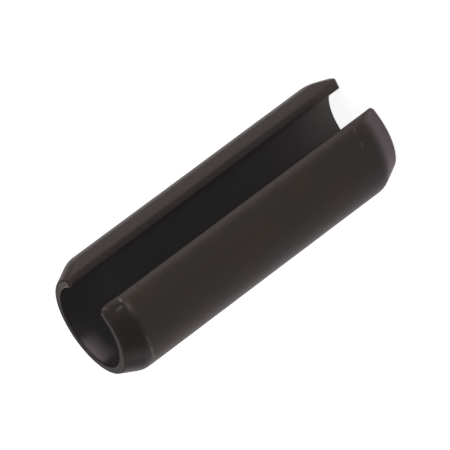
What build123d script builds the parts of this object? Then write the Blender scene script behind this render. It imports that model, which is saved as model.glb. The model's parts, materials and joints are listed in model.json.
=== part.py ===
from build123d import *
import os
from itertools import product
from math import asin, degrees, sqrt

# Slotted spring pin: one strip of spring steel rolled into an open tube, with a straight slot
# along its whole length and a chamfered lead on both ends. It stands on one end, with its axis
# on Z and its slot open towards -Y. The origin is on the axis, in the plane of the lower end.

# Driving dimensions, in mm. The diameter is the free one, before the pin is driven in.
outer_diameter = 12.65
wall = 1.9
length = 35.0
slot_width = 6.0            # between the outer corners of the slot, before they are rounded
rollover_radius = 0.85      # outer edges of the slot, drawn round when the strip was sheared
inner_edge_radius = 0.3     # inner edges of the slot
chamfer_length = 2.2        # along the axis
chamfer_depth = 1.1         # along the radius
shoulder_radius = 1.0       # between the chamfer and the outer surface
rim_radius = 0.25           # between the chamfer and the end face
mouth_break = 0.15          # between the bore and the end face
slot_end_break = 0.3        # between the slot's edges and the end faces

outer_radius = outer_diameter / 2
bore_radius = outer_radius - wall
end_radius = outer_radius - chamfer_depth
half_slot_angle = degrees(asin(slot_width / 2 / outer_radius))


def distance_from_axis(vertex):
    return Vector(vertex).length


def strip_section():
    """The rolled strip's section: an open ring with radial edges, its slot centred on +X."""
    reach = Vector(outer_diameter, 0)
    left, right = reach.rotate(Axis.Z, half_slot_angle), reach.rotate(Axis.Z, -half_slot_angle)
    ring = Circle(outer_radius) - Circle(bore_radius)
    ring -= make_face(Polyline((0, 0), right, reach, left, close=True))
    outer_corners = ring.vertices().sort_by(distance_from_axis)[-2:]
    ring = fillet(outer_corners, min(rollover_radius, wall - inner_edge_radius - mouth_break))
    inner_corners = ring.vertices().sort_by(distance_from_axis)[:2]
    return fillet(inner_corners, inner_edge_radius)


def turned_body():
    """The solid round bar that the two chamfers leave, with the bore's mouths broken."""
    half_profile = Polyline(
        (0, 0),
        (end_radius, 0),
        (outer_radius, chamfer_length),
        (outer_radius, length - chamfer_length),
        (end_radius, length),
        (0, length),
        close=True,
    )
    profile = make_face(half_profile)
    profile = fillet(profile.vertices().group_by(Axis.X)[-1], shoulder_radius)
    rims = [v for v in profile.vertices() if abs(v.X - end_radius) < rim_radius / 2]
    profile = fillet(rims, rim_radius)
    body = revolve(Plane.XZ * profile, Axis.Z)
    mouth_radius = bore_radius + mouth_break
    countersink = Cone(mouth_radius, 0, mouth_radius, align=(Align.CENTER, Align.CENTER, Align.MIN))
    return body - countersink - Pos(0, 0, length) * Rot(180, 0, 0) * countersink


def slot_end_cutters():
    """One square bar along each end of each edge of the slot, turned to cut a 45 degree break."""
    side = slot_end_break * sqrt(2)
    bar = Rot(45, 0, 0) * Box(outer_radius, side, side, align=(Align.MIN, Align.CENTER, Align.CENTER))
    corners = product((-half_slot_angle, half_slot_angle), (0, length))
    return [Pos(0, 0, height) * Rot(0, 0, angle) * bar for angle, height in corners]


rolled_strip = extrude(strip_section(), length)
broken_strip = rolled_strip - slot_end_cutters()
spring_pin = Rot(0, 0, -90) * (broken_strip & turned_body())

os.makedirs("parts", exist_ok=True)
export_step(spring_pin, "parts/spring_pin.step")
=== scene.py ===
"""Slotted spring pin in black-oxide spring steel, on a pale studio floor.

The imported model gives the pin's place, diameter, bore and length. The pin is one strip of steel
rolled into an open tube, so it is one piece here too: Geometry Nodes sweep the strip's section
along the axis and let the two chamfers, the edges and the marks of handling shape it.
"""
import json
import logging
import math
from dataclasses import dataclass, field
from enum import Enum

import bpy
from mathutils import Matrix, Vector


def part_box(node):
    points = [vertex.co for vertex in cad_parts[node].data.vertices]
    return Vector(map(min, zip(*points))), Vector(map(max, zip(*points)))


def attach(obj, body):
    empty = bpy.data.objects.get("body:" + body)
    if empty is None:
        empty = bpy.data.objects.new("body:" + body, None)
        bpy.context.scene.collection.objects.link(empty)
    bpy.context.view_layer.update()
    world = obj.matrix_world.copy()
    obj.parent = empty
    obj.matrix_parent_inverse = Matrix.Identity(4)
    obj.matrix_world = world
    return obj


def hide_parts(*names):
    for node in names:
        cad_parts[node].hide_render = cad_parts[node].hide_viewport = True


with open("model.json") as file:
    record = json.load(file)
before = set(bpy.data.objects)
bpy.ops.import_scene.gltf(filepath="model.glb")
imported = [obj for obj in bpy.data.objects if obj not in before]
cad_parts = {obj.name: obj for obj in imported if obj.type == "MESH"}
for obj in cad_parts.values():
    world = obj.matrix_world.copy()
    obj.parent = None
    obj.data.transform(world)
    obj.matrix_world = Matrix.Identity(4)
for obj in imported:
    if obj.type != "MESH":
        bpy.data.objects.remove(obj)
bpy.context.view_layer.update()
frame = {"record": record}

log = logging.getLogger("spring_pin")

MM = 0.001
QUARTER_TURN = math.pi / 2
HALF_TURN = math.pi
WHITE = (1.0, 1.0, 1.0, 1.0)
MATH, VECTOR_MATH = "ShaderNodeMath", "ShaderNodeVectorMath"
MAP_RANGE, MIX = "ShaderNodeMapRange", "ShaderNodeMix"
OBJECT_PLACE, ATTRIBUTE_VALUE, DISTANCE = 3, 2, 1  # outputs of three of the nodes

Socket = bpy.types.NodeSocket
Value = float | int | str | tuple | Socket


def linear(code: str) -> tuple[float, float, float, float]:
    """Turn an sRGB hex colour into the linear colour that Blender's sockets hold.

    Args:
        code: The colour as six hex digits.

    Returns:
        Linear red, green, blue and an alpha of one.
    """
    parts = [int(code[i:i + 2], 16) / 255 for i in (0, 2, 4)]
    low, gain, offset, power = 0.04045, 12.92, 0.055, 2.4
    red, green, blue = (
        c / gain if c <= low else ((c + offset) / (1 + offset)) ** power for c in parts
    )
    return red, green, blue, 1.0


def add(
    tree: bpy.types.NodeTree,
    kind: str,
    *values: Value | None,
    inputs: dict[str, Value] | None = None,
    output: int = 0,
    **settings: object,
) -> Socket | None:
    """Add a node, set its properties, and set or link its inputs.

    Args:
        tree: The shader or geometry tree that gets the node.
        kind: Blender's name of the node's type.
        values: What the first inputs take, in order. None leaves one as it is.
        inputs: What further inputs take, by name.
        output: The number of the output to hand back.
        settings: The node's own properties.

    Returns:
        One of the new node's outputs, or None where it has none.
    """
    node = tree.nodes.new(kind)
    for name, setting in settings.items():
        setattr(node, name, setting)
    sockets = [socket for socket in node.inputs if socket.enabled]
    named = {socket.name: socket for socket in sockets}
    wanted = [(socket, value) for socket, value in zip(sockets, values) if value is not None]
    wanted += [(named[name], value) for name, value in (inputs or {}).items()]
    for socket, value in wanted:
        if isinstance(value, Socket):
            tree.links.new(value, socket)
        else:
            socket.default_value = value
    outlets = [socket for socket in node.outputs if socket.enabled]
    return outlets[output] if outlets else None


class Zone(str, Enum):
    """What the sweep writes on each point for the finish to read, each from 0 to 1.

    Attributes:
        BARE: How much lighter a mark paints the film: the oxide it took away, and partly a painted
            glint.
        EDGE: How sharply the surface turns, since the film wears first on its edges; the lighter
            edges are partly painted catch-light.
        INSIDE: How much residue, which dries in the bore, covers the film.
        BRIGHT: How far the lower chamfer and the slot's flanks are painted lighter, as painted
            reflection and painted light.
        MOUTH_LIGHT: How much of the bore's colour is the painted pool of light in the upper mouth.
    """

    BARE = "bare_steel"
    EDGE = "edge_wear"
    INSIDE = "bore_wall"
    BRIGHT = "burnished_skin"
    MOUTH_LIGHT = "mouth_deposit"


@dataclass(frozen=True)
class Mark:
    """A short dent or rub in the pin's skin, partly a painted highlight, from one place to
    another. Lengths in millimetres.

    Attributes:
        turn_deg: Its start, counter-clockwise from the slot's middle, seen from above.
        height: Its start above the lower end.
        turn_run_deg: How far round it runs.
        height_run: How far up it runs.
        width: From its middle line to where it has faded out.
        depth: How far it dents the steel.
        bareness_and_glint: How much lighter it paints the film, from 0 to 1: the oxide it took
            away, and partly a painted glint.
    """

    turn_deg: float
    height: float
    turn_run_deg: float
    height_run: float
    width: float
    depth: float
    bareness_and_glint: float


@dataclass(frozen=True)
class BlackOxide:
    """Black oxide on hardened spring steel, with a thin film of oil. Lengths in millimetres.

    The bath turns the skin of the steel to magnetite, an oxide that is part metal in the way it
    reflects. The eye gets a warm near-black that still mirrors softly, and goes pale with a rosy
    cast where it is seen edge-on. Oil and salts that dry in the bore leave it matt. The bore's
    colour is painted paler towards the lower end, as painted light coming in at the open lower
    end, and darker in the upper mouth, as painted shade. The residue spills thinly over the end
    faces. A paler patch in the upper mouth is a painted pool of light. The lower chamfer and the
    slot's sheared flanks get a lighter, greyer film, as painted reflection and painted light. The
    strip's rolling marks run along the pin under the film.

    Attributes:
        name: The material's name.
        film: The film's usual colour. All colours are sRGB hex codes.
        thin_film: Its colour where the clouds in it are thinnest.
        violet_film: Its colour where they are thickest.
        rubbed_and_catchlight: Its colour on the edges, where the film wore and partly as a painted
            catch-light.
        bare_and_glint: The colour of a mark: the steel where it took the film away, and partly a
            painted glint.
        painted_light_film: The film's colour on the lower chamfer, as painted reflection, and on
            the slot's flanks, as painted light.
        mouth_pool_of_light: The colour of the painted pool of light in the upper mouth.
        edge_on: What the reflection turns to where the film is seen edge-on.
        metal_share: How far the film reflects as a metal does, from 0 to 1.
        residue_metal_share: The same for the residue.
        roughness: The film's roughness, halfway between its rolling marks.
        roughness_swing: How far the rolling marks move it either way.
        residue_roughness: The residue's roughness.
        residue_with_painted_light_by_height: Pairs of a height above the lower end and the
            residue's colour there, painted paler low down as painted light from the open lower end
            and darker near the top as painted shade.
        cloud_size: The size of the clouds in the film.
        cloud_range: The part of the clouds' noise over which the colour changes.
        grain_size: The size of the fine grain.
        grain_height: How high the grain and the rolling marks stand.
        streak_width: How wide a rolling mark is.
        streak_length: How long a rolling mark is.
        streak_range: The part of the marks' noise over which the roughness changes.
    """

    name: str = "black_oxide_spring_steel_satin"
    film: str = "38332f"
    thin_film: str = "3b342e"
    violet_film: str = "363132"
    rubbed_and_catchlight: str = "5c5450"
    bare_and_glint: str = "dcd8d0"
    painted_light_film: str = "716668"
    mouth_pool_of_light: str = "9c9094"
    edge_on: str = "e6d8da"
    metal_share: float = 0.5
    residue_metal_share: float = 0.1
    roughness: float = 0.34
    roughness_swing: float = 0.03
    residue_roughness: float = 0.65
    residue_with_painted_light_by_height: tuple[tuple[float, str], ...] = (
        (0.0, "989292"), (2.5, "827d7d"), (5.0, "706c6c"), (9.0, "656262"), (29.0, "5b5959"),
        (33.0, "434141"), (35.0, "383636"),
    )
    cloud_size: float = 6.0
    cloud_range: tuple[float, float] = (0.35, 0.65)
    grain_size: float = 0.22
    grain_height: float = 0.0012
    streak_width: float = 0.16
    streak_length: float = 9.0
    streak_range: tuple[float, float] = (0.3, 0.7)

    def material(self) -> bpy.types.Material:
        """Build the finish.

        Returns:
            A material that reads Object coordinates and the sweep's zones.
        """
        finish = bpy.data.materials.new(self.name)
        finish.use_nodes = True
        tree = finish.node_tree
        tree.nodes.clear()
        place = add(tree, "ShaderNodeTexCoord", output=OBJECT_PLACE)
        clouds = add(tree, "ShaderNodeTexNoise", place,
                     inputs={"Scale": 1 / (self.cloud_size * MM), "Detail": 3.0})
        grain = add(tree, "ShaderNodeTexNoise", place,
                    inputs={"Scale": 1 / (self.grain_size * MM), "Detail": 2.0})
        squeeze = add(tree, "ShaderNodeMapping", place,
                      inputs={"Scale": (1.0, 1.0, self.streak_width / self.streak_length)})
        streaks = add(tree, "ShaderNodeTexNoise", squeeze,
                      inputs={"Scale": 1 / (self.streak_width * MM), "Detail": 2.0})
        bare_and_glint, edge, inside, bright, mouth_lit = (
            add(tree, "ShaderNodeAttribute", attribute_name=zone.value, output=ATTRIBUTE_VALUE)
            for zone in (Zone.BARE, Zone.EDGE, Zone.INSIDE, Zone.BRIGHT, Zone.MOUTH_LIGHT)
        )

        tint = add(tree, "ShaderNodeValToRGB", clouds)
        thick, thin = tint.node.color_ramp.elements
        thick.position, thin.position = self.cloud_range
        thick.color, thin.color = linear(self.violet_film), linear(self.thin_film)
        usual = tint.node.color_ramp.elements.new(sum(self.cloud_range) / 2)
        usual.color = linear(self.film)
        # The lower chamfer and the slot's flanks get a lighter film: painted reflection and
        # painted light.
        outer = add(tree, MIX, bright, tint, linear(self.painted_light_film), data_type="RGBA")

        # The residue's colour grades with height: paler towards the lower end as painted light
        # from the open lower end, darker in the upper mouth as painted shade.
        height = add(tree, "ShaderNodeSeparateXYZ", place).node.outputs["Z"]
        reach = self.residue_with_painted_light_by_height[-1][0]
        light_share = add(tree, MAP_RANGE, height, 0.0, reach * MM, 0.0, 1.0)
        residue = add(tree, "ShaderNodeValToRGB", light_share)
        stops = residue.node.color_ramp.elements
        for above, colour in self.residue_with_painted_light_by_height[1:-1]:
            stops.new(above / reach).color = linear(colour)
        stops[0].color = linear(self.residue_with_painted_light_by_height[0][1])
        stops[len(stops) - 1].color = linear(self.residue_with_painted_light_by_height[-1][1])
        # A pale patch in the upper mouth is a painted pool of light.
        lining = add(tree, MIX, mouth_lit, residue, linear(self.mouth_pool_of_light), data_type="RGBA")
        lined = add(tree, MIX, inside, outer, lining, data_type="RGBA")
        # Convex edges are painted lighter: partly wear, partly a painted catch-light.
        rub_and_catchlight_share = add(tree, MATH, edge, grain, operation="MULTIPLY")
        worn_and_catchlit = add(tree, MIX, rub_and_catchlight_share, lined, linear(self.rubbed_and_catchlight), data_type="RGBA")
        coloured = add(tree, MIX, bare_and_glint, worn_and_catchlit, linear(self.bare_and_glint), data_type="RGBA")

        metal_skin = add(tree, MIX, inside, self.metal_share, self.residue_metal_share)
        metal = add(tree, MATH, metal_skin, bare_and_glint, operation="MAXIMUM")
        relief = add(tree, MATH, streaks, grain, operation="ADD")
        bump = add(tree, "ShaderNodeBump", inputs={
            "Strength": 1.0, "Distance": self.grain_height * MM, "Height": relief})
        rough = add(tree, MAP_RANGE, streaks, *self.streak_range,
                    self.roughness - self.roughness_swing, self.roughness + self.roughness_swing)
        rough_lined = add(tree, MIX, inside, rough, self.residue_roughness)
        shader = add(tree, "ShaderNodeBsdfPrincipled", inputs={
            "Base Color": coloured, "Metallic": metal, "Roughness": rough_lined,
            "Specular Tint": linear(self.edge_on), "Normal": bump})
        add(tree, "ShaderNodeOutputMaterial", shader)
        return finish


@dataclass(frozen=True)
class Place:
    """Where each point of the sweep lies, as fields of the geometry tree. Lengths in millimetres.

    Attributes:
        rank: Its ring's number, counted from the nearer end.
        depth: How deep it lies under the plane of the nearer end.
        height: Its height above the lower end, once the upper end leans.
        upper: One in the upper half of the pin, and zero in the lower.
        lower: One in the lower half of the pin, and zero in the upper.
        reach: Its distance from the axis in the plain section.
        turn: Its turn from the slot's middle, in radians.
        turn_size: The size of that turn, whichever way it goes.
    """

    rank: Socket
    depth: Socket
    height: Socket
    upper: Socket
    lower: Socket
    reach: Socket
    turn: Socket
    turn_size: Socket


@dataclass(frozen=True)
class Envelope:
    """The form that turning and boring leave, as fields of the geometry tree, in millimetres.

    Attributes:
        outer: The radius at which the outer surface, chamfer or rim lies.
        inner: The radius at which the bore or its broken mouth lies.
        rim: One in the end face, and zero from where its rounded rim begins.
    """

    outer: Socket
    inner: Socket
    rim: Socket


@dataclass
class SpringPin:
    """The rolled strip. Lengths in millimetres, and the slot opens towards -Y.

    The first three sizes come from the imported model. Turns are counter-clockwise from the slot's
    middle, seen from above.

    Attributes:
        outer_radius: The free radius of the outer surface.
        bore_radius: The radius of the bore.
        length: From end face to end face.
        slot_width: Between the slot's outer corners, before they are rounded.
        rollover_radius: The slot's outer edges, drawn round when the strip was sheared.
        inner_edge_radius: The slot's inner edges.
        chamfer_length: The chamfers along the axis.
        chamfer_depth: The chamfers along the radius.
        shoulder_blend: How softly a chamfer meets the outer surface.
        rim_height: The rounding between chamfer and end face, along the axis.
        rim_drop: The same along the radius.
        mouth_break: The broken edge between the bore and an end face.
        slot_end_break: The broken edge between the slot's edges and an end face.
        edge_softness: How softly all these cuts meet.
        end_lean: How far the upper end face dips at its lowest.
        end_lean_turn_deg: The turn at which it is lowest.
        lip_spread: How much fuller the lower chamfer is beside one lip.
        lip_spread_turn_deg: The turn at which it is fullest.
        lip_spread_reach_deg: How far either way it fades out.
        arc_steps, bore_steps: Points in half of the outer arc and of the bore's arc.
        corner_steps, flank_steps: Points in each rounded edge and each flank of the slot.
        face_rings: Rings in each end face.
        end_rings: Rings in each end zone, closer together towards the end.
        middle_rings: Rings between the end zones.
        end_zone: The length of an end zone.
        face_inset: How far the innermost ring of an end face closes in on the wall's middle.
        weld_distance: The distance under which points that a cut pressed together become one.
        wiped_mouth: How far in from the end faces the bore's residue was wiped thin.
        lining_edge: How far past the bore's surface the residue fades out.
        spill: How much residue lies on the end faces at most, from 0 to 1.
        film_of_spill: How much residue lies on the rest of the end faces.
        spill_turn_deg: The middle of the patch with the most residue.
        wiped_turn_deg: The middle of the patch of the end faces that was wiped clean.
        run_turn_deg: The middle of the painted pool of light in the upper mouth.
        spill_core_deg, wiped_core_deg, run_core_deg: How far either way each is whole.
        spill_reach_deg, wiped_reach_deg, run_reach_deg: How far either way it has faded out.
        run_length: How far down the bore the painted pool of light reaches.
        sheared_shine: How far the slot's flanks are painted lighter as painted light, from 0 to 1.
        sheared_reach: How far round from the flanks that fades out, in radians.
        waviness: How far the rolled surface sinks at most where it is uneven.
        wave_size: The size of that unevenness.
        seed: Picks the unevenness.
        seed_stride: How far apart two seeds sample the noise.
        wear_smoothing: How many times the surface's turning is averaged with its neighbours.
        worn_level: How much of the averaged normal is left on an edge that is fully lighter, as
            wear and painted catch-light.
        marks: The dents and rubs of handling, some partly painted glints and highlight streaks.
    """

    outer_radius: float
    bore_radius: float
    length: float
    slot_width: float = 6.0
    rollover_radius: float = 0.85
    inner_edge_radius: float = 0.3
    chamfer_length: float = 2.2
    chamfer_depth: float = 1.1
    shoulder_blend: float = 0.4
    rim_height: float = 0.14
    rim_drop: float = 0.16
    mouth_break: float = 0.06
    slot_end_break: float = 0.3
    edge_softness: float = 0.02
    end_lean: float = 0.4
    end_lean_turn_deg: float = 30.0
    lip_spread: float = 0.34
    lip_spread_turn_deg: float = 36.0
    lip_spread_reach_deg: float = 60.0
    arc_steps: int = 84
    bore_steps: int = 60
    corner_steps: int = 11
    flank_steps: int = 9
    face_rings: int = 5
    end_rings: int = 74
    middle_rings: int = 88
    end_zone: float = 6.5
    face_inset: float = 0.8
    weld_distance: float = 0.003
    wiped_mouth: float = 0.3
    lining_edge: float = 0.1
    spill: float = 0.95
    spill_turn_deg: float = 145.0
    spill_core_deg: float = 25.0
    spill_reach_deg: float = 70.0
    film_of_spill: float = 0.62
    wiped_turn_deg: float = 48.0
    wiped_core_deg: float = 25.0
    wiped_reach_deg: float = 62.0
    run_turn_deg: float = 171.0
    run_core_deg: float = 4.0
    run_reach_deg: float = 28.0
    run_length: float = 2.2
    sheared_shine: float = 0.34
    sheared_reach: float = 0.14
    waviness: float = 0.03
    wave_size: float = 7.0
    seed: int = 7
    seed_stride: float = 13.7
    wear_smoothing: int = 7
    worn_level: float = 0.96
    marks: tuple[Mark, ...] = (
        # A dent at the near lip's corner, its bright glint partly a painted highlight.
        Mark(-33.6, 32.9, -1.0, 0.0, 0.23, 0.04, 1.0),
        Mark(-39.7, 33.7, 0.3, -0.6, 0.19, 0.03, 0.45),
        # The streak at the near lip's corner is partly a painted highlight.
        Mark(-29.5, 34.85, -2.5, -0.6, 0.2, 0.03, 0.4),
        # These three dent nothing: they are painted highlight streaks along the upper shoulder.
        Mark(-75.0, 32.5, -15.0, -0.1, 0.26, 0.0, 0.05),
        Mark(-90.0, 32.4, -13.0, -0.15, 0.26, 0.0, 0.1),
        Mark(-103.0, 32.25, -13.0, -0.25, 0.24, 0.0, 0.07),
        Mark(-37.0, 32.7, -8.0, -0.1, 0.2, 0.02, 0.06),
        Mark(-35.6, 3.35, -2.5, 0.1, 0.16, 0.02, 0.08),
        Mark(-50.0, 3.6, -3.6, 0.1, 0.2, 0.02, 0.06),
        Mark(-37.0, 1.84, -1.0, 0.1, 0.12, 0.02, 0.12),
    )

    @classmethod
    def from_frame(cls, node: str, record: dict) -> "SpringPin":
        """Read the pin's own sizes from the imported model.

        Args:
            node: The name of the pin's CAD node.
            record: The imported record, whose mounts give the two radii.

        Returns:
            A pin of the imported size.
        """
        radii = {mount["name"]: mount["dims"].get("r_mm") for mount in record["mounts"]}
        low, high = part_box(node)
        return cls(radii["outer_wall"], radii["bore"], (high - low).z / MM)

    @property
    def slot_half_angle(self) -> float:
        """Half the slot's opening, seen from the axis, in radians."""
        return math.asin(self.slot_width / 2 / self.outer_radius)

    @property
    def core_setback(self) -> float:
        """How far the end face's middle line stops short of the slot, in radians."""
        end_radius = self.outer_radius - self.chamfer_depth
        wall, middle = end_radius - self.bore_radius, (end_radius + self.bore_radius) / 2
        return (wall / 2 + self.slot_end_break) / middle

    def inputs(self, finish: bpy.types.Material) -> dict[str, tuple[str, object]]:
        """List the tree's named inputs. Each is named as its field is, and turns are in radians.

        Args:
            finish: The material that covers the pin.

        Returns:
            The type of each input's socket and the value that it gets, by the input's name.
        """
        sizes = (
            "outer_radius", "bore_radius", "length", "slot_half_angle", "rollover_radius",
            "inner_edge_radius", "chamfer_length", "chamfer_depth", "shoulder_blend",
            "rim_height", "rim_drop", "mouth_break", "slot_end_break", "edge_softness",
            "end_lean", "lip_spread", "end_zone", "core_setback", "wiped_mouth", "lining_edge",
            "spill", "film_of_spill", "run_length", "sheared_shine", "waviness",
        )
        turns = ("end_lean_turn", "lip_spread_turn", "lip_spread_reach") + tuple(
            f"{patch}_{part}" for patch in ("spill", "wiped", "run")
            for part in ("turn", "core", "reach")
        )
        numbers = {name: getattr(self, name) for name in sizes}
        numbers |= {name: math.radians(getattr(self, f"{name}_deg")) for name in turns}
        rings = 2 * (self.face_rings + self.end_rings) + self.middle_rings
        counts = {"face_rings": self.face_rings, "end_rings": self.end_rings, "rings": rings,
                  "seed": self.seed}
        listed = {name: ("NodeSocketFloat", value) for name, value in numbers.items()}
        listed |= {name: ("NodeSocketInt", value) for name, value in counts.items()}
        listed["finish"] = ("NodeSocketMaterial", finish)
        return {name.replace("_", " ").title(): entry for name, entry in listed.items()}

    def section(self, tree: bpy.types.NodeTree, size: dict[str, Socket]) -> Socket:
        """Lay out the strip's section as one closed curve, its slot centred on +X.

        Half of it is drawn, from the middle of its back round by the slot and back along the
        bore, and the other half is its mirror image.

        Args:
            tree: The geometry tree.
            size: The tree's named inputs.

        Returns:
            The section, in millimetres.
        """
        slot = size["Slot Half Angle"]
        roll, edge = size["Rollover Radius"], size["Inner Edge Radius"]
        roll_reach = add(tree, MATH, size["Outer Radius"], roll, operation="SUBTRACT")
        edge_reach = add(tree, MATH, size["Bore Radius"], edge, operation="ADD")
        corner = []
        for radius, reach in ((roll, roll_reach), (edge, edge_reach)):
            share = add(tree, MATH, radius, reach, operation="DIVIDE")
            lean = add(tree, MATH, share, operation="ARCSINE")
            angle = add(tree, MATH, slot, lean, operation="ADD")
            cosine = add(tree, MATH, lean, operation="COSINE")
            foot = add(tree, MATH, reach, cosine, operation="MULTIPLY")
            corner.append((lean, angle, foot))
        (roll_lean, roll_angle, roll_foot), (edge_lean, edge_angle, edge_foot) = corner

        outer_sweep = add(tree, MATH, HALF_TURN, roll_angle, operation="SUBTRACT")
        bore_sweep = add(tree, MATH, edge_angle, HALF_TURN, operation="SUBTRACT")
        bore_start = add(tree, MATH, edge_angle, -1.0, operation="MULTIPLY")
        roll_sweep = add(tree, MATH, QUARTER_TURN, roll_lean, operation="ADD")
        edge_start = add(tree, MATH, QUARTER_TURN, edge_lean, operation="ADD")
        edge_sweep = add(tree, MATH, QUARTER_TURN, edge_lean, operation="SUBTRACT")
        flank_ends = [add(tree, "ShaderNodeCombineXYZ", foot) for foot in (roll_foot, edge_foot)]
        flank = add(tree, "GeometryNodeCurvePrimitiveLine", *flank_ends)
        arcs = [
            add(tree, "GeometryNodeCurveArc", steps, radius, start, sweep)
            for steps, radius, start, sweep in (
                (self.arc_steps, size["Outer Radius"], HALF_TURN, outer_sweep),
                (self.corner_steps, roll, 0.0, roll_sweep),
                (self.corner_steps, edge, edge_start, edge_sweep),
                (self.bore_steps, size["Bore Radius"], bore_start, bore_sweep),
            )
        ]
        stretches = (
            (arcs[0], None, None),
            (arcs[1], roll_reach, roll_angle),
            (add(tree, "GeometryNodeResampleCurve", flank, inputs={"Count": self.flank_steps}),
             None, slot),
            (arcs[2], edge_reach, edge_angle),
            (arcs[3], None, None),
        )
        stride = 1000
        index = add(tree, "GeometryNodeInputIndex")
        half = add(tree, "GeometryNodeJoinGeometry")
        for rank, (curve, reach, angle) in enumerate(stretches):
            if reach is not None:
                shift = add(tree, "ShaderNodeCombineXYZ", reach)
                curve = add(tree, "GeometryNodeTransform", curve, shift)
            if angle is not None:
                back = add(tree, MATH, angle, -1.0, operation="MULTIPLY")
                turn = add(tree, "ShaderNodeCombineXYZ", 0.0, 0.0, back)
                curve = add(tree, "GeometryNodeTransform", curve, inputs={"Rotation": turn})
            points = add(tree, "GeometryNodeCurveToPoints", curve, mode="EVALUATED")
            order = add(tree, MATH, index, float(rank * stride), operation="ADD")
            ranked = add(tree, "GeometryNodeStoreNamedAttribute", points,
                         inputs={"Name": "order", "Value": order})
            tree.links.new(ranked, half.node.inputs[0])

        order = add(tree, "GeometryNodeInputNamedAttribute", "order")
        far_order = add(tree, MATH, 2.0 * len(stretches) * stride, order, operation="SUBTRACT")
        mirrored = add(tree, "GeometryNodeTransform", half, inputs={"Scale": (1.0, -1.0, 1.0)})
        mirrored = add(tree, "GeometryNodeStoreNamedAttribute", mirrored,
                       inputs={"Name": "order", "Value": far_order})
        loop = add(tree, "GeometryNodeJoinGeometry")
        for part in (half, mirrored):
            tree.links.new(part, loop.node.inputs[0])
        curve = add(tree, "GeometryNodePointsToCurves", loop, inputs={"Weight": order})
        closed = add(tree, "GeometryNodeSetSplineCyclic", curve, inputs={"Cyclic": True})
        place = add(tree, "GeometryNodeInputPosition")
        return add(tree, "GeometryNodeStoreNamedAttribute", closed, data_type="FLOAT_VECTOR",
                   inputs={"Name": "section", "Value": place})

    def place(self, tree: bpy.types.NodeTree, size: dict[str, Socket]) -> Place:
        """Find where each point of the swept tube belongs, from its ring and its section.

        The first rings from an end lie in the end face. After them, rings are close together
        where the chamfers turn, and further apart past the end zone. The upper end leans, and
        its lean fades out towards the pin's middle.

        Args:
            tree: The geometry tree.
            size: The tree's named inputs.

        Returns:
            The fields that place each point.
        """
        ring = add(tree, "GeometryNodeInputNamedAttribute", "ring")
        last = add(tree, MATH, size["Rings"], 1.0, operation="SUBTRACT")
        middle = add(tree, MATH, last, 2.0, operation="DIVIDE")
        upper = add(tree, MATH, ring, middle, operation="GREATER_THAN")
        lower = add(tree, MATH, 1.0, upper, operation="SUBTRACT")
        mirror_ring = add(tree, MATH, last, ring, operation="SUBTRACT")
        rank = add(tree, MATH, ring, mirror_ring, operation="MINIMUM")
        zone_end = add(tree, MATH, size["Face Rings"], size["End Rings"], operation="ADD")
        share = add(tree, MAP_RANGE, rank, size["Face Rings"], zone_end, 0.0, 1.0)
        graded = add(tree, MATH, share, share, operation="MULTIPLY")
        half_length = add(tree, MATH, size["Length"], 2.0, operation="DIVIDE")
        plain = add(tree, MATH, half_length, size["End Zone"], operation="SUBTRACT")
        beyond = add(tree, MAP_RANGE, rank, zone_end, middle, 0.0, plain)
        depth = add(tree, MATH, graded, size["End Zone"], beyond, operation="MULTIPLY_ADD")

        spot = add(tree, "GeometryNodeInputNamedAttribute", "section", data_type="FLOAT_VECTOR")
        reach = add(tree, VECTOR_MATH, spot, operation="LENGTH")
        parts = add(tree, "ShaderNodeSeparateXYZ", spot).node.outputs
        turn = add(tree, MATH, parts["Y"], parts["X"], operation="ARCTAN2")
        turn_size = add(tree, MATH, turn, operation="ABSOLUTE")

        from_low = add(tree, MATH, turn, size["End Lean Turn"], operation="SUBTRACT")
        low_side = add(tree, MATH, from_low, operation="COSINE")
        low_share = add(tree, MAP_RANGE, low_side, -1.0, 1.0, 0.0, size["End Lean"])
        near_end = add(tree, MAP_RANGE, depth, 0.0, half_length, 1.0, 0.0)
        lowered = add(tree, MATH, low_share, near_end, depth, operation="MULTIPLY_ADD")
        from_top = add(tree, MATH, size["Length"], lowered, operation="SUBTRACT")
        height = add(tree, MIX, upper, depth, from_top)
        return Place(rank, depth, height, upper, lower, reach, turn, turn_size)

    def envelope(self, tree: bpy.types.NodeTree, size: dict[str, Socket], at: Place) -> Envelope:
        """Find the form that the chamfers, the rims and the bore's mouths leave.

        Args:
            tree: The geometry tree.
            size: The tree's named inputs.
            at: Where each point lies.

        Returns:
            The outer and inner radius at each point's depth, and its nearness to the rim.
        """
        from_lip = add(tree, MATH, at.turn, size["Lip Spread Turn"], operation="SUBTRACT")
        lip_distance = add(tree, MATH, from_lip, operation="ABSOLUTE")
        sprung = add(tree, MAP_RANGE, lip_distance, 0.0, size["Lip Spread Reach"],
                     size["Lip Spread"], 0.0, interpolation_type="SMOOTHSTEP")
        sprung_low = add(tree, MATH, sprung, at.lower, operation="MULTIPLY")
        square_end = add(tree, MATH, size["Outer Radius"], size["Chamfer Depth"],
                         operation="SUBTRACT")
        end_radius = add(tree, MATH, square_end, sprung_low, operation="ADD")
        cone = add(tree, MAP_RANGE, at.depth, 0.0, size["Chamfer Length"],
                   end_radius, size["Outer Radius"], clamp=False)
        turned = add(tree, MATH, cone, size["Outer Radius"], size["Shoulder Blend"],
                     operation="SMOOTH_MIN")
        rim = add(tree, MAP_RANGE, at.depth, 0.0, size["Rim Height"], 1.0, 0.0)
        rim_square = add(tree, MATH, rim, rim, operation="MULTIPLY")
        rim_rest = add(tree, MATH, 1.0, rim_square, operation="SUBTRACT")
        rim_round = add(tree, MATH, rim_rest, operation="SQRT")
        rim_share = add(tree, MATH, 1.0, rim_round, operation="SUBTRACT")
        rim_cut = add(tree, MATH, rim_share, size["Rim Drop"], operation="MULTIPLY")
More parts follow.
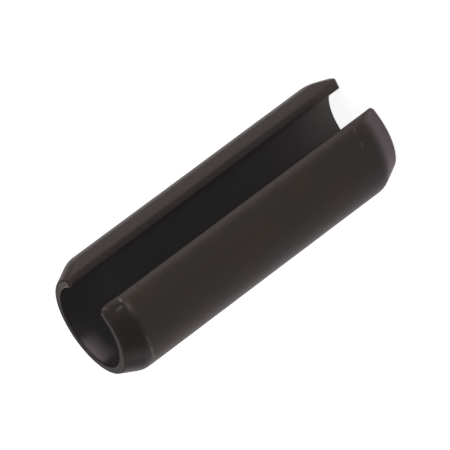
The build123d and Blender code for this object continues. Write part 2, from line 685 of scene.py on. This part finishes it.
        outer = add(tree, MATH, turned, rim_cut, operation="SUBTRACT")
        mouth_radius = add(tree, MATH, size["Bore Radius"], size["Mouth Break"], operation="ADD")
        inner = add(tree, MAP_RANGE, at.depth, 0.0, size["Mouth Break"],
                    mouth_radius, size["Bore Radius"])
        return Envelope(outer, inner, rim)

    def position(self, tree: bpy.types.NodeTree, size: dict[str, Socket], at: Place,
                 form: Envelope) -> Socket:
        """Cut each point back to the turned form and to the broken ends of the slot.

        Rings in an end face close in on the middle of the wall.

        Args:
            tree: The geometry tree.
            size: The tree's named inputs.
            at: Where each point lies.
            form: The turned form.

        Returns:
            Each point's position, in millimetres.
        """
        cut = add(tree, MATH, at.reach, form.outer, size["Edge Softness"], operation="SMOOTH_MIN")
        bored = add(tree, MATH, cut, form.inner, size["Edge Softness"], operation="SMOOTH_MAX")
        both = add(tree, MATH, form.outer, form.inner, operation="ADD")
        wall_middle = add(tree, MATH, both, 2.0, operation="DIVIDE")
        gap = add(tree, MAP_RANGE, at.depth, 0.0, size["Slot End Break"],
                  size["Slot End Break"], 0.0)
        gap_turn = add(tree, MATH, gap, bored, operation="DIVIDE")
        side = add(tree, MATH, at.turn, operation="SIGN")
        places = []
        for setback, radius in ((gap_turn, bored), (size["Core Setback"], wall_middle)):
            nearest = add(tree, MATH, size["Slot Half Angle"], setback, operation="ADD")
            kept = add(tree, MATH, at.turn_size, nearest, operation="MAXIMUM")
            angle = add(tree, MATH, kept, side, operation="MULTIPLY")
            along_x = add(tree, MATH, angle, operation="COSINE")
            along_y = add(tree, MATH, angle, operation="SINE")
            outward = add(tree, "ShaderNodeCombineXYZ", along_x, along_y)
            places.append(add(tree, VECTOR_MATH, outward, inputs={"Scale": radius},
                              operation="SCALE"))
        inset = add(tree, MAP_RANGE, at.rank, 0.0, size["Face Rings"], self.face_inset, 0.0)
        flat = add(tree, MIX, inset, *places, data_type="VECTOR")
        rise = add(tree, "ShaderNodeCombineXYZ", 0.0, 0.0, at.height)
        return add(tree, VECTOR_MATH, flat, rise, operation="ADD")

    def zones(self, tree: bpy.types.NodeTree, size: dict[str, Socket], at: Place,
              form: Envelope) -> dict[Zone, Socket]:
        """Find where residue lies, and where light is painted on the mouth, lower chamfer and
        flanks.

        Args:
            tree: The geometry tree.
            size: The tree's named inputs.
            at: Where each point lies.
            form: The turned form.

        Returns:
            How far each point belongs to the residue and to the painted light.
        """
        lining_start = add(tree, MATH, size["Bore Radius"], size["Lining Edge"], operation="ADD")
        inner = add(tree, MAP_RANGE, at.reach, lining_start, size["Bore Radius"], 0.0, 1.0)
        below_mouth = add(tree, MAP_RANGE, at.depth, 0.0, size["Wiped Mouth"], 0.0, 1.0)
        lining = add(tree, MATH, inner, below_mouth, operation="MULTIPLY")
        spilt, wiped, light_share = (
            self.patch(tree, at.turn, *(size[f"{name} {part}"]
                                        for part in ("Turn", "Core", "Reach")))
            for name in ("Spill", "Wiped", "Run")
        )
        thick_spill = add(tree, MATH, spilt, size["Spill"], operation="MULTIPLY")
        thin_spill = add(tree, MAP_RANGE, wiped, 0.0, 1.0, size["Film Of Spill"], 0.0)
        spill = add(tree, MATH, thick_spill, thin_spill, operation="MAXIMUM")
        on_face = add(tree, MATH, form.rim, spill, operation="MULTIPLY")
        inside = add(tree, MATH, lining, on_face, operation="MAXIMUM")

        # Painted reflection on the lower chamfer and painted light on the slot's flanks.
        taken_off = add(tree, MATH, at.reach, form.outer, operation="SUBTRACT")
        lit_lower_chamfer = add(tree, MAP_RANGE, taken_off, 0.0, size["Shoulder Blend"], 0.0, at.lower)
        from_slot = add(tree, MATH, at.turn_size, size["Slot Half Angle"], operation="SUBTRACT")
        sheared = add(tree, MAP_RANGE, from_slot, 0.0, self.sheared_reach,
                      size["Sheared Shine"], 0.0)
        bright = add(tree, MATH, lit_lower_chamfer, sheared, operation="MAXIMUM")

        # A painted pool of light on the bore wall, just inside the upper mouth.
        run_depth = add(tree, MAP_RANGE, at.depth, 0.0, size["Run Length"], at.upper, 0.0)
        run = add(tree, MATH, light_share, run_depth, operation="MULTIPLY")
        mouth_pool_of_light = add(tree, MATH, run, lining, operation="MULTIPLY")
        return {Zone.INSIDE: inside, Zone.BRIGHT: bright, Zone.MOUTH_LIGHT: mouth_pool_of_light}

    def sweep(self, tree: bpy.types.NodeTree, size: dict[str, Socket], section: Socket) -> Socket:
        """Sweep the section along the axis and give the tube its ends.

        Args:
            tree: The geometry tree.
            size: The tree's named inputs.
            section: The closed section.

        Returns:
            The pin's mesh, in millimetres, with its slot centred on +X.
        """
        axis = add(tree, "GeometryNodeCurvePrimitiveLine", inputs={"End": (0.0, 0.0, 1.0)})
        rings = add(tree, "GeometryNodeResampleCurve", axis, inputs={"Count": size["Rings"]})
        index = add(tree, "GeometryNodeInputIndex")
        rings = add(tree, "GeometryNodeStoreNamedAttribute", rings,
                    inputs={"Name": "ring", "Value": index})
        tube = add(tree, "GeometryNodeCurveToMesh", rings, section, inputs={"Fill Caps": True})

        at = self.place(tree, size)
        form = self.envelope(tree, size, at)
        position = self.position(tree, size, at, form)
        shaped = add(tree, "GeometryNodeSetPosition", tube, inputs={"Position": position})
        for zone, value in self.zones(tree, size, at, form).items():
            shaped = add(tree, "GeometryNodeStoreNamedAttribute", shaped,
                         inputs={"Name": zone.value, "Value": value})
        return add(tree, "GeometryNodeMergeByDistance", shaped,
                   inputs={"Distance": self.weld_distance})

    def patch(self, tree: bpy.types.NodeTree, turn: Socket, middle: Socket, core: Socket,
              reach: Socket) -> Socket:
        """Measure how far inside a patch round the pin each point lies.

        Args:
            tree: The geometry tree.
            turn: Each point's turn from the slot's middle, in radians.
            middle: The turn at the middle of the patch.
            core: How far either way the patch is whole.
            reach: How far either way it has faded out, at most half a turn.

        Returns:
            One in the core of the patch, and zero beyond its reach.
        """
        away = add(tree, MATH, turn, middle, operation="SUBTRACT")
        nearness = [add(tree, MATH, angle, operation="COSINE")
                    for angle in (away, reach, core)]
        return add(tree, MAP_RANGE, *nearness, 0.0, 1.0, interpolation_type="SMOOTHSTEP")

    def handle(self, tree: bpy.types.NodeTree, size: dict[str, Socket], mesh: Socket) -> Socket:
        """Let the steel be a little uneven, dent it at each mark, and note where edges wear and
        carry painted catch-light.

        Every change goes into the steel, so the pin stays within its real size.

        Args:
            tree: The geometry tree.
            size: The tree's named inputs.
            mesh: The swept pin, its slot towards -Y.

        Returns:
            The finished surface, with the zones that the finish reads.
        """
        bare_and_glint, dented = 0.0, 0.0
        # Each mark paints the film lighter: the steel under dents, and painted glints and
        # highlight streaks.
        for mark in self.marks:
            ends = [self.on_skin(mark.turn_deg, mark.height),
                    self.on_skin(mark.turn_deg + mark.turn_run_deg, mark.height + mark.height_run)]
            line = add(tree, "GeometryNodeCurvePrimitiveLine", *ends)
            wire = add(tree, "GeometryNodeCurveToMesh", line)
            away = add(tree, "GeometryNodeProximity", wire, target_element="EDGES",
                       output=DISTANCE)
            struck = add(tree, MAP_RANGE, away, 0.0, mark.width, 1.0, 0.0,
                         interpolation_type="SMOOTHSTEP")
            bare_and_glint = add(tree, MATH, struck, mark.bareness_and_glint, bare_and_glint, operation="MULTIPLY_ADD")
            dented = add(tree, MATH, struck, mark.depth, dented, operation="MULTIPLY_ADD")
        place = add(tree, "GeometryNodeInputPosition")
        shift = add(tree, MATH, size["Seed"], self.seed_stride, operation="MULTIPLY")
        sampled = add(tree, VECTOR_MATH, place, shift, operation="ADD")
        wave = add(tree, "ShaderNodeTexNoise", sampled, inputs={
            "Scale": 1 / self.wave_size, "Detail": 2.0})
        sag = add(tree, MATH, wave, size["Waviness"], operation="MULTIPLY")
        sunk = add(tree, MATH, dented, sag, operation="ADD")
        inward = add(tree, MATH, sunk, -1.0, operation="MULTIPLY")
        normal = add(tree, "GeometryNodeInputNormal")
        blurred = add(tree, "GeometryNodeBlurAttribute", normal, self.wear_smoothing,
                      data_type="FLOAT_VECTOR")
        offset = add(tree, VECTOR_MATH, blurred, inputs={"Scale": inward}, operation="SCALE")
        level = add(tree, VECTOR_MATH, blurred, operation="LENGTH")
        turning = add(tree, MAP_RANGE, level, 1.0, self.worn_level, 0.0, 1.0)
        noted = mesh
        for zone, value in ((Zone.BARE, bare_and_glint), (Zone.EDGE, turning)):
            noted = add(tree, "GeometryNodeStoreNamedAttribute", noted,
                        inputs={"Name": zone.value, "Value": value})
        return add(tree, "GeometryNodeSetPosition", noted, inputs={"Offset": offset})

    def on_skin(self, turn_deg: float, height: float) -> tuple[float, float, float]:
        """Find a point of the outer skin.

        Args:
            turn_deg: Its turn from the slot's middle.
            height: Its height above the lower end.

        Returns:
            The point, in millimetres, with the slot towards -Y.
        """
        end_depth = min(height, self.length - height)
        cut = max(0.0, 1 - end_depth / self.chamfer_length) * self.chamfer_depth
        angle = math.radians(turn_deg) - QUARTER_TURN
        radius = self.outer_radius - cut
        return radius * math.cos(angle), radius * math.sin(angle), height

    def build(self, name: str, finish: bpy.types.Material) -> bpy.types.Object:
        """Grow the pin from its tree and turn the result into a plain mesh.

        Args:
            name: The piece's name.
            finish: The material that covers it.

        Returns:
            The finished piece, at the origin, in metres.
        """
        tree = bpy.data.node_groups.new("rolled_strip", "GeometryNodeTree")
        listed = self.inputs(finish)
        keys = {}
        tree.interface.new_socket("Geometry", in_out="OUTPUT", socket_type="NodeSocketGeometry")
        for label, (socket_type, _) in listed.items():
            socket = tree.interface.new_socket(label, in_out="INPUT", socket_type=socket_type)
            keys[label] = socket.identifier
        entry = tree.nodes.new("NodeGroupInput")
        size = {label: entry.outputs[label] for label in listed}

        swept = self.sweep(tree, size, self.section(tree, size))
        slot_to_front = (0.0, 0.0, -QUARTER_TURN)
        faced = add(tree, "GeometryNodeTransform", swept, inputs={"Rotation": slot_to_front})
        handled = self.handle(tree, size, faced)
        metres = add(tree, "GeometryNodeTransform", handled, inputs={"Scale": (MM, MM, MM)})
        smooth = add(tree, "GeometryNodeSetShadeSmooth", metres)
        plain = add(tree, "GeometryNodeRealizeInstances", smooth)
        coated = add(tree, "GeometryNodeSetMaterial", plain, inputs={"Material": size["Finish"]})
        add(tree, "NodeGroupOutput", coated)

        seedling = bpy.data.objects.new("strip_tree", bpy.data.meshes.new("strip_tree"))
        bpy.context.scene.collection.objects.link(seedling)
        grower = seedling.modifiers.new("rolled_strip", "NODES")
        grower.node_group = tree
        for label, (_, value) in listed.items():
            grower[keys[label]] = value
        graph = bpy.context.evaluated_depsgraph_get()
        mesh = bpy.data.meshes.new_from_object(seedling.evaluated_get(graph))
        bpy.data.objects.remove(seedling)
        mesh.name = name
        piece = bpy.data.objects.new(name, mesh)
        bpy.context.scene.collection.objects.link(piece)
        return piece


@dataclass
class Softbox:
    """A square of soft light. It stands at a direction from the pin and faces it.

    Attributes:
        name: The lamp's name.
        azimuth_deg: Its side of the pin: 0 is the slot's side, 90 is to the right of that.
        elevation_deg: How far above the floor's plane it stands.
        width: Its side, in metres.
        distance: How far from the pin it stands, in metres.
        level: The brightness of its face, where 1 is white paper in full light.
    """

    name: str
    azimuth_deg: float
    elevation_deg: float
    width: float
    distance: float
    level: float

    def build(self, aim: Vector) -> bpy.types.Object:
        """Place the lamp.

        Args:
            aim: The point that it faces.

        Returns:
            The lamp's object.
        """
        lamp = bpy.data.lights.new(self.name, "AREA")
        lamp.shape = "SQUARE"
        lamp.size = self.width
        lamp.energy = self.level * math.pi * self.width ** 2
        away = direction(self.azimuth_deg, self.elevation_deg)
        holder = bpy.data.objects.new(self.name, lamp)
        holder.location = aim + away * self.distance
        holder.rotation_euler = (-away).to_track_quat("-Z", "Y").to_euler()
        bpy.context.scene.collection.objects.link(holder)
        return holder


def direction(azimuth_deg: float, elevation_deg: float) -> Vector:
    """Find the way from the pin to a place in the studio.

    Args:
        azimuth_deg: Its side of the pin: 0 is the slot's side, 90 is to the right of that.
        elevation_deg: How far above the floor's plane it lies.

    Returns:
        A unit vector.
    """
    azimuth, elevation = math.radians(azimuth_deg), math.radians(elevation_deg)
    level = math.cos(elevation)
    return Vector((math.sin(azimuth) * level, -math.cos(azimuth) * level, math.sin(elevation)))


@dataclass
class Studio:
    """Floor, surroundings, lamps and camera around the pin. Lengths in metres.

    Attributes:
        aim: The point that the camera and the lamps face.
        camera_azimuth_deg: The camera's side of the pin, as for a lamp.
        camera_elevation_deg: How far above the floor's plane it stands.
        camera_roll_deg: How far it is rolled.
        camera_distance: How far from the pin it stands.
        lens_mm: Its focal length.
        sensor_mm: The width of its sensor.
        clip_near: The nearest that it sees.
        clip_far: The furthest that it sees.
        floor_width: The side of the square floor.
        floor_colour: The paper's sRGB colour.
        floor_lift: The light that the camera gets from the paper besides what it reflects.
        floor_in_mirrors: The same for what the pin's surface mirrors.
        surroundings: The brightness of the room, as the pin gets it.
        lamps: The soft lights.
    """

    aim: Vector = field(default_factory=lambda: Vector((0.101, -0.076, 17.502)) * MM)
    camera_azimuth_deg: float = -37.2
    camera_elevation_deg: float = 21.264
    camera_roll_deg: float = -126.76
    camera_distance: float = 0.48023
    lens_mm: float = 400.0
    sensor_mm: float = 36.0
    clip_near: float = 0.01
    clip_far: float = 20.0
    floor_width: float = 12.0
    floor_colour: str = "f4f4f4"
    floor_lift: float = 0.85
    floor_in_mirrors: float = 0.39
    surroundings: float = 0.28
    lamps: tuple[Softbox, ...] = (
        Softbox("right_softbox", 20.0, 9.0, 0.35, 1.0, 2.9),
        Softbox("left_softbox", -47.0, 9.0, 0.35, 1.0, 2.0),
        Softbox("top_softbox", -30.0, 45.0, 0.5, 1.0, 0.5),
        Softbox("back_softbox", -145.0, 12.0, 0.4, 1.0, 0.66),
        Softbox("rear_softbox", 150.0, 20.0, 0.2, 1.0, 4.4),
    )

    def floor(self) -> bpy.types.Object:
        """Lay the pale floor, which is white to the camera and keeps a soft shadow.

        Returns:
            The floor's object.
        """
        half = self.floor_width / 2
        mesh = bpy.data.meshes.new("studio_floor")
        corners = [(-half, -half, 0.0), (half, -half, 0.0), (half, half, 0.0), (-half, half, 0.0)]
        mesh.from_pydata(corners, [], [(0, 1, 2, 3)])
        sheet = bpy.data.objects.new("studio_floor", mesh)
        bpy.context.scene.collection.objects.link(sheet)

        paper = bpy.data.materials.new("white_background_paper")
        paper.use_nodes = True
        tree = paper.node_tree
        tree.nodes.clear()
        matt = add(tree, "ShaderNodeBsdfDiffuse", linear(self.floor_colour))
        rays = add(tree, "ShaderNodeLightPath").node.outputs
        mirrored = add(tree, MATH, rays["Is Glossy Ray"], self.floor_in_mirrors,
                       operation="MULTIPLY")
        lift = add(tree, MATH, rays["Is Camera Ray"], self.floor_lift, mirrored,
                   operation="MULTIPLY_ADD")
        white = add(tree, "ShaderNodeEmission", WHITE, lift)
        sheet_light = add(tree, "ShaderNodeAddShader", matt, white)
        add(tree, "ShaderNodeOutputMaterial", sheet_light)
        mesh.materials.append(paper)
        return sheet

    def world(self) -> None:
        """Set the surroundings: white to the camera, and a plain soft room to the pin."""
        world = bpy.data.worlds.new("white_room")
        world.use_nodes = True
        tree = world.node_tree
        tree.nodes.clear()
        room = add(tree, "ShaderNodeBackground", WHITE, self.surroundings)
        backdrop = add(tree, "ShaderNodeBackground", WHITE, 1.0)
        camera_ray = add(tree, "ShaderNodeLightPath")
        mixed = add(tree, "ShaderNodeMixShader", camera_ray, room, backdrop)
        add(tree, "ShaderNodeOutputWorld", mixed)
        bpy.context.scene.world = world

    def camera(self) -> bpy.types.Object:
        """Place the camera, rolled so that the pin's upper end points down to the left.

        Returns:
            The camera's object.
        """
        lens = bpy.data.cameras.new("studio_camera")
        lens.sensor_width = self.sensor_mm
        lens.lens = self.lens_mm
        lens.clip_start, lens.clip_end = self.clip_near, self.clip_far
        holder = bpy.data.objects.new("studio_camera", lens)
        back = direction(self.camera_azimuth_deg, self.camera_elevation_deg)
        upright = (-back).to_track_quat("-Z", "Y").to_matrix()
        roll = Matrix.Rotation(math.radians(self.camera_roll_deg), 3, "Z")
        holder.location = self.aim + back * self.camera_distance
        holder.rotation_euler = (upright @ roll).to_euler()
        bpy.context.scene.collection.objects.link(holder)
        bpy.context.scene.camera = holder
        return holder


def main() -> None:
    """Build the pin, put it in the studio and report each piece."""
    logging.basicConfig(level=logging.INFO, format="%(name)s: %(message)s")
    bpy.context.scene.view_settings.view_transform = "Standard"

    pin = SpringPin.from_frame("spring_pin", frame["record"])
    piece = pin.build("rolled_pin", BlackOxide().material())
    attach(piece, "root")
    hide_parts("spring_pin")
    piece.data.calc_loop_triangles()
    log.info("%s: %d triangles", piece.name, len(piece.data.loop_triangles))

    studio = Studio()
    studio.floor()
    studio.world()
    studio.camera()
    for lamp in studio.lamps:
        lamp.build(studio.aim)
        log.info("%s: level %.2f", lamp.name, lamp.level)


if __name__ == "__main__":
    main()
